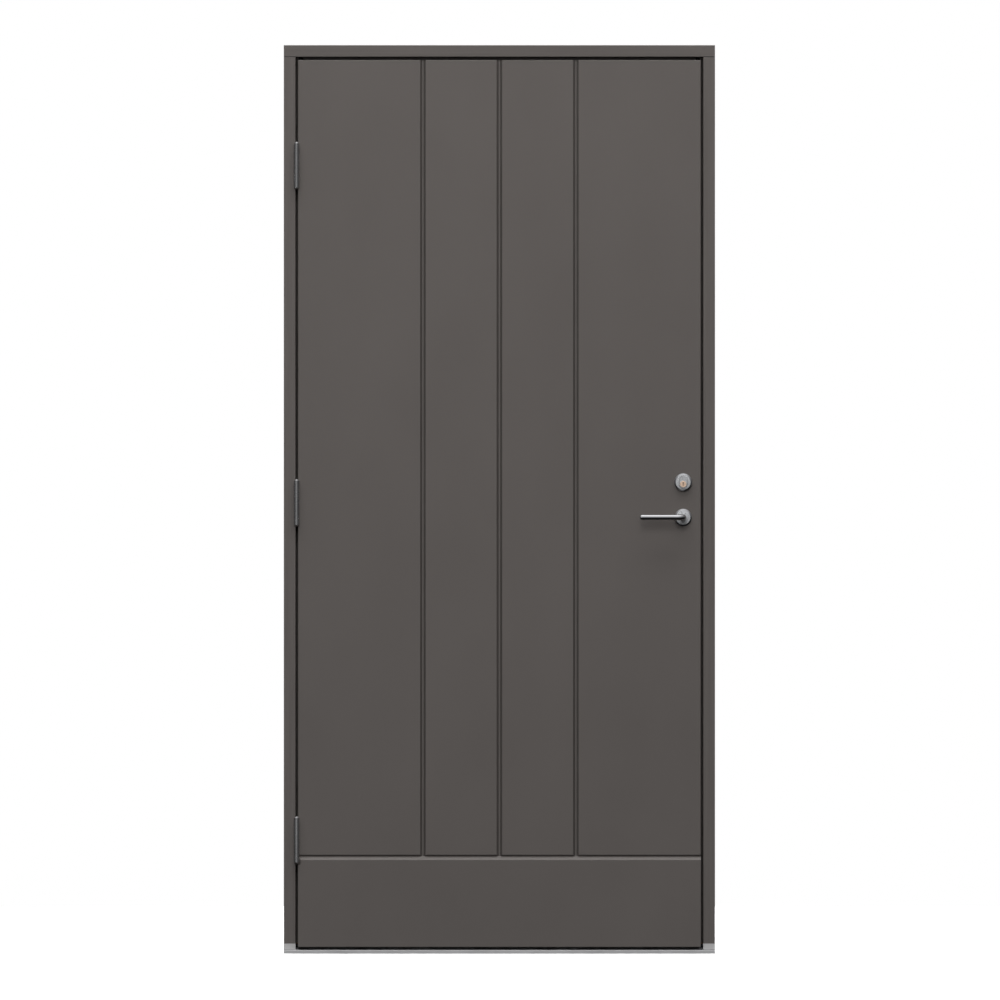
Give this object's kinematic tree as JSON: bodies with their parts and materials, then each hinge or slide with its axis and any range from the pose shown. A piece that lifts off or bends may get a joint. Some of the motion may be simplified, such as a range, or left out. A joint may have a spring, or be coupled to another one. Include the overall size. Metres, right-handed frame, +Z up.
{
  "type": "exterior door",
  "caption": "Outward-opening timber exterior door with a vertically grooved leaf, kick board, lever handle, lock cylinder and knuckle hinges in a rebated frame with a metal-faced threshold.",
  "frame": {"origin": "on the floor under the sill, midway between the jambs, in the plane of the frame's outer face", "axes": "+X to the right as seen from outside, +Y into the building, +Z up"},
  "size_m": [0.992, 0.1718, 2.09],
  "materials": {
    "frame_paint": "satin warm dark grey paint on timber",
    "leaf_paint": "satin warm dark grey paint on board and timber",
    "oak": "oiled",
    "insulation": "cut foam",
    "sill_metal": "satin anodised",
    "foot_plastic": "light grey, matt",
    "seal_rubber": "matt black",
    "hinge_steel": "zinc plated",
    "lock_steel": "satin",
    "handle_chrome": "polished",
    "plug_brass": "satin"
  },
  "bodies": {
    "frame": {"hinge_jamb": "frame_paint", "lock_jamb": "frame_paint", "head": "frame_paint", "threshold": "oak", "sill_plate": "sill_metal", "hinge_jamb_foot": "foot_plastic", "lock_jamb_foot": "foot_plastic", "hinge_side_seal": "seal_rubber", "lock_side_seal": "seal_rubber", "head_seal": "seal_rubber", "threshold_seal": "seal_rubber", "frame_hinge_top": "hinge_steel", "frame_hinge_middle": "hinge_steel", "frame_hinge_bottom": "hinge_steel", "hinge_pins": "hinge_steel", "strike_plate": "lock_steel"},
    "leaf": {"outer_panel": "leaf_paint", "inner_panel": "leaf_paint", "hinge_stile": "leaf_paint", "lock_stile": "leaf_paint", "top_rail": "leaf_paint", "bottom_rail": "leaf_paint", "insulation_core": "insulation", "kick_board": "leaf_paint", "leaf_hinge_top": "hinge_steel", "leaf_hinge_middle": "hinge_steel", "leaf_hinge_bottom": "hinge_steel", "lock_case": "lock_steel", "latch_bolt": "lock_steel", "dead_bolt": "lock_steel", "outer_rose": "handle_chrome", "inner_rose": "handle_chrome", "cylinder_ring": "handle_chrome", "lock_cylinder": "handle_chrome", "thumbturn_rose": "handle_chrome", "thumbturn": "handle_chrome"},
    "lever": {"outer_lever": "handle_chrome", "inner_lever": "handle_chrome", "spindle": "lock_steel"},
    "plug": {"cylinder_plug": "plug_brass"}
  },
  "joints": [
    {"name": "leaf_swing", "type": "hinge", "parent": "frame", "child": "leaf", "pos_m": [-0.46615, -0.008, 1.03715], "axis": [0, 0, -1], "range_deg": [0, 170]},
    {"name": "lever_turn", "type": "hinge", "parent": "leaf", "child": "lever", "pos_m": [0.4227, 0, 1.0035], "axis": [0, -1, 0], "range_deg": [0, 45], "stiffness_Nm_per_rad": 1, "springref_deg": -34.38},
    {"name": "plug_turn", "type": "hinge", "parent": "leaf", "child": "plug", "pos_m": [0.4227, 0, 1.07975], "axis": [0, -1, 0], "range_deg": [-90, 90]}
  ]
}
